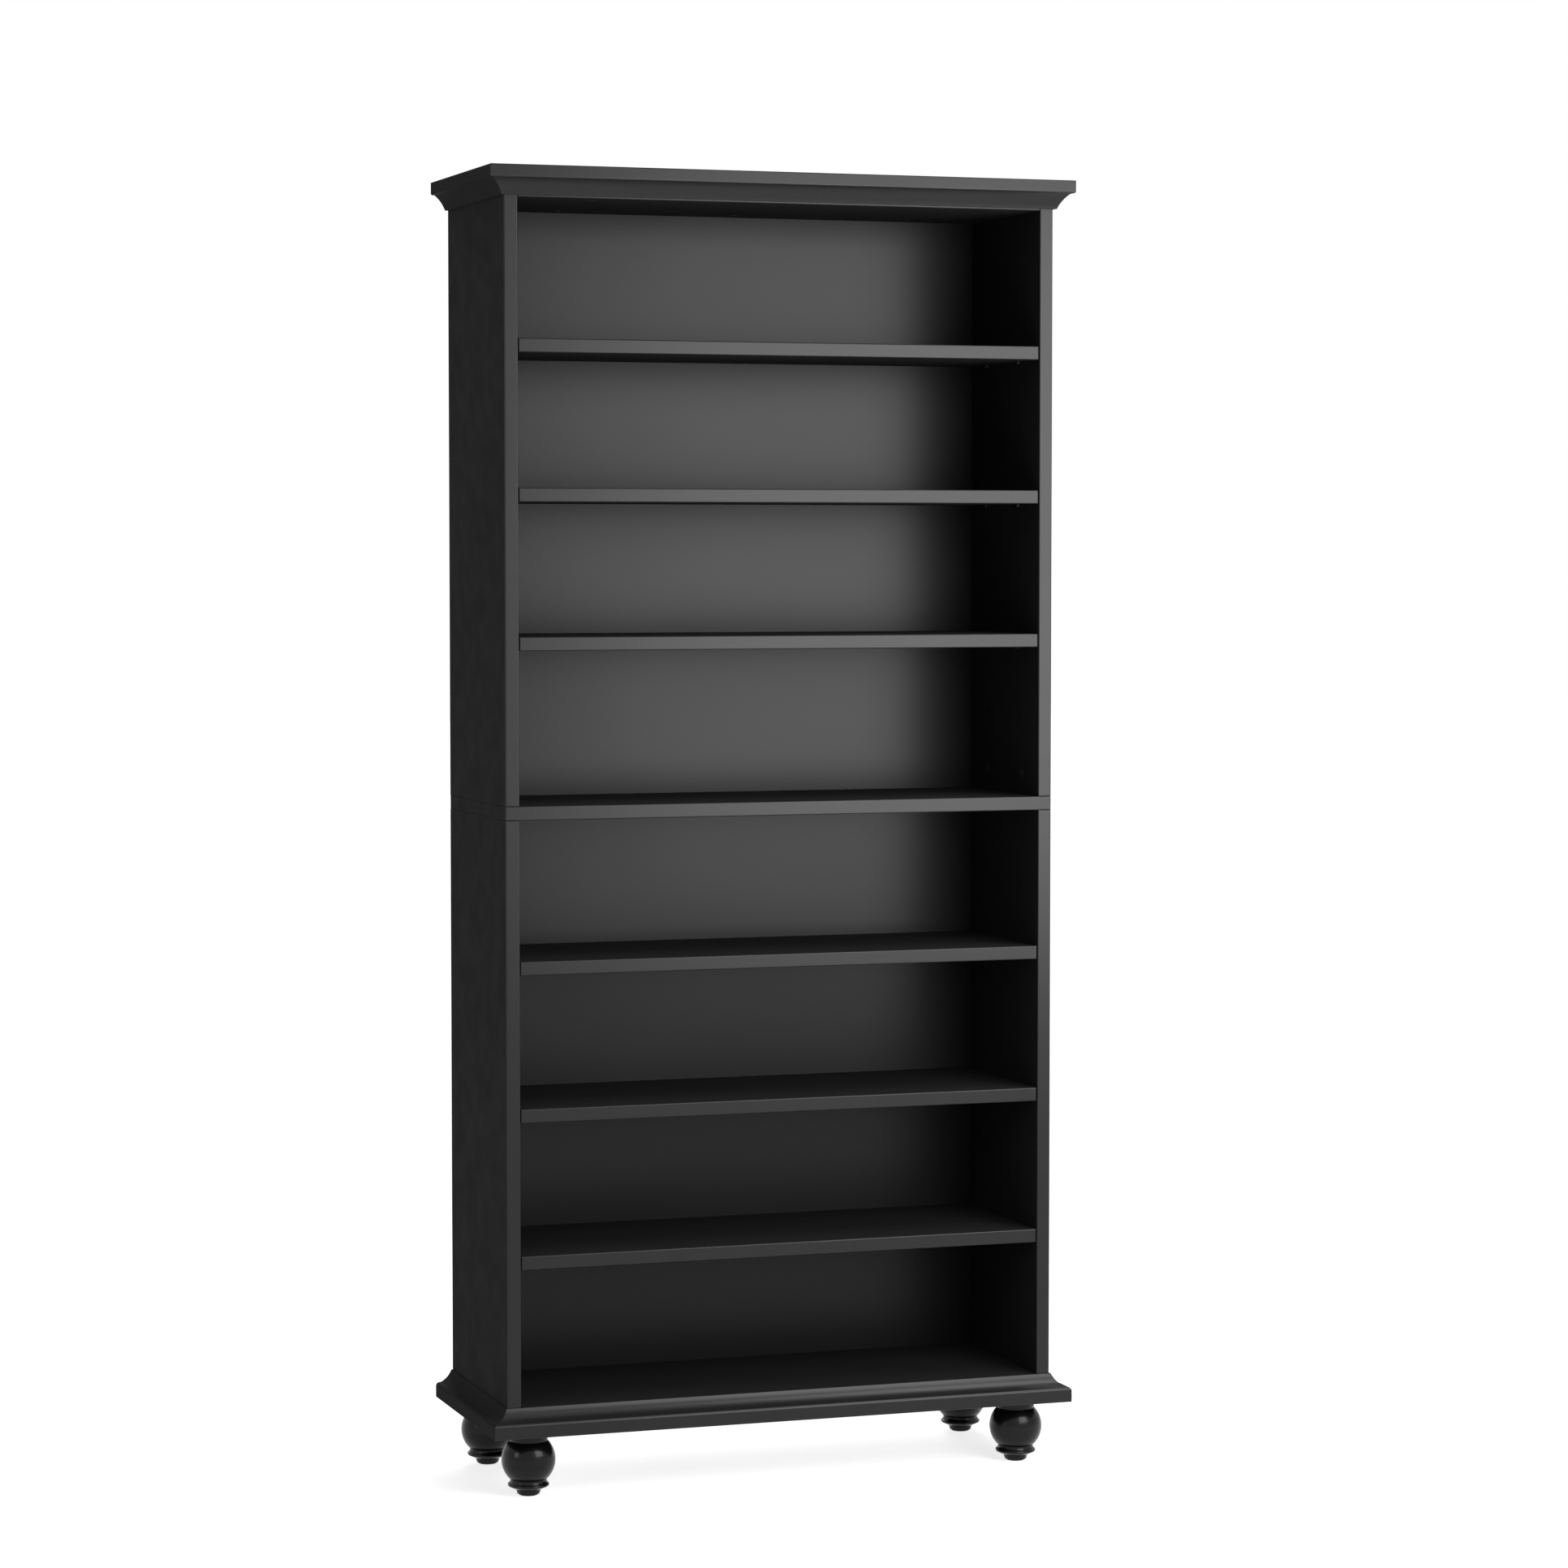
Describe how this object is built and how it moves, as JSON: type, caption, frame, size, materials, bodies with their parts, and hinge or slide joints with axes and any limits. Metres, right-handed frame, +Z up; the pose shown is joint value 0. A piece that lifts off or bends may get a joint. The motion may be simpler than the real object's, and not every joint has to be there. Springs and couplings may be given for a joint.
{
  "type": "bookcase",
  "caption": "Tall two-stack bookcase with crown and base mouldings, adjustable shelves, back panels and turned ball feet, in black satin lacquer.",
  "frame": {"origin": "on the floor, at the centre of the whole bookcase's footprint", "axes": "+Z up, +X to the viewer's right, +Y from the open front to the back"},
  "size_m": [0.971, 0.3746, 2.082],
  "materials": {
    "black_lacquer": "satin black lacquer on board and turned wood",
    "black_back_sheet": "satin black faced fibreboard",
    "stained_rail_wood": "black stained softwood",
    "zinc_steel": "zinc plated",
    "black_steel": null,
    "beech": "plain, fluted",
    "nylon": "moulded"
  },
  "bodies": {
    "case": {"base_board": "black_lacquer", "base_moulding_front": "black_lacquer", "base_moulding_left": "black_lacquer", "base_moulding_right": "black_lacquer", "base_screws": "zinc_steel", "cam_bolts": "zinc_steel", "cam_drums": "zinc_steel", "crown_deck": "black_lacquer", "crown_moulding_front": "black_lacquer", "crown_moulding_left": "black_lacquer", "crown_moulding_right": "black_lacquer", "deck_screws": "black_steel", "foot_bolts": "zinc_steel", "foot_front_left": "black_lacquer", "foot_front_right": "black_lacquer", "foot_glides": "nylon", "foot_nuts": "zinc_steel", "foot_rear_left": "black_lacquer", "foot_rear_right": "black_lacquer", "lower_back_panel": "black_back_sheet", "lower_bottom_panel": "black_lacquer", "lower_bottom_rail": "stained_rail_wood", "lower_dowels": "beech", "lower_shelf_pins": "black_steel", "lower_side_left": "black_lacquer", "lower_side_right": "black_lacquer", "lower_top_rail": "stained_rail_wood", "mid_board": "black_lacquer", "mid_board_screws": "zinc_steel", "upper_back_panel": "black_back_sheet", "upper_bottom_rail": "stained_rail_wood", "upper_dowels": "beech", "upper_shelf_pins": "black_steel", "upper_side_left": "black_lacquer", "upper_side_right": "black_lacquer", "upper_top_panel": "black_lacquer", "upper_top_rail": "stained_rail_wood"},
    "lower_shelf_1_board": {"lower_shelf_1": "black_lacquer"},
    "lower_shelf_2_board": {"lower_shelf_2": "black_lacquer"},
    "lower_shelf_3_board": {"lower_shelf_3": "black_lacquer"},
    "upper_shelf_1_board": {"upper_shelf_1": "black_lacquer"},
    "upper_shelf_2_board": {"upper_shelf_2": "black_lacquer"},
    "upper_shelf_3_board": {"upper_shelf_3": "black_lacquer"}
  },
  "joints": [
    {"name": "lower_shelf_1_draw", "type": "slide", "parent": "case", "child": "lower_shelf_1_board", "axis": [0, -1, 0], "range_m": [0, 0.32]},
    {"name": "lower_shelf_2_draw", "type": "slide", "parent": "case", "child": "lower_shelf_2_board", "axis": [0, -1, 0], "range_m": [0, 0.32]},
    {"name": "lower_shelf_3_draw", "type": "slide", "parent": "case", "child": "lower_shelf_3_board", "axis": [0, -1, 0], "range_m": [0, 0.32]},
    {"name": "upper_shelf_1_draw", "type": "slide", "parent": "case", "child": "upper_shelf_1_board", "axis": [0, -1, 0], "range_m": [0, 0.32]},
    {"name": "upper_shelf_2_draw", "type": "slide", "parent": "case", "child": "upper_shelf_2_board", "axis": [0, -1, 0], "range_m": [0, 0.32]},
    {"name": "upper_shelf_3_draw", "type": "slide", "parent": "case", "child": "upper_shelf_3_board", "axis": [0, -1, 0], "range_m": [0, 0.32]}
  ]
}
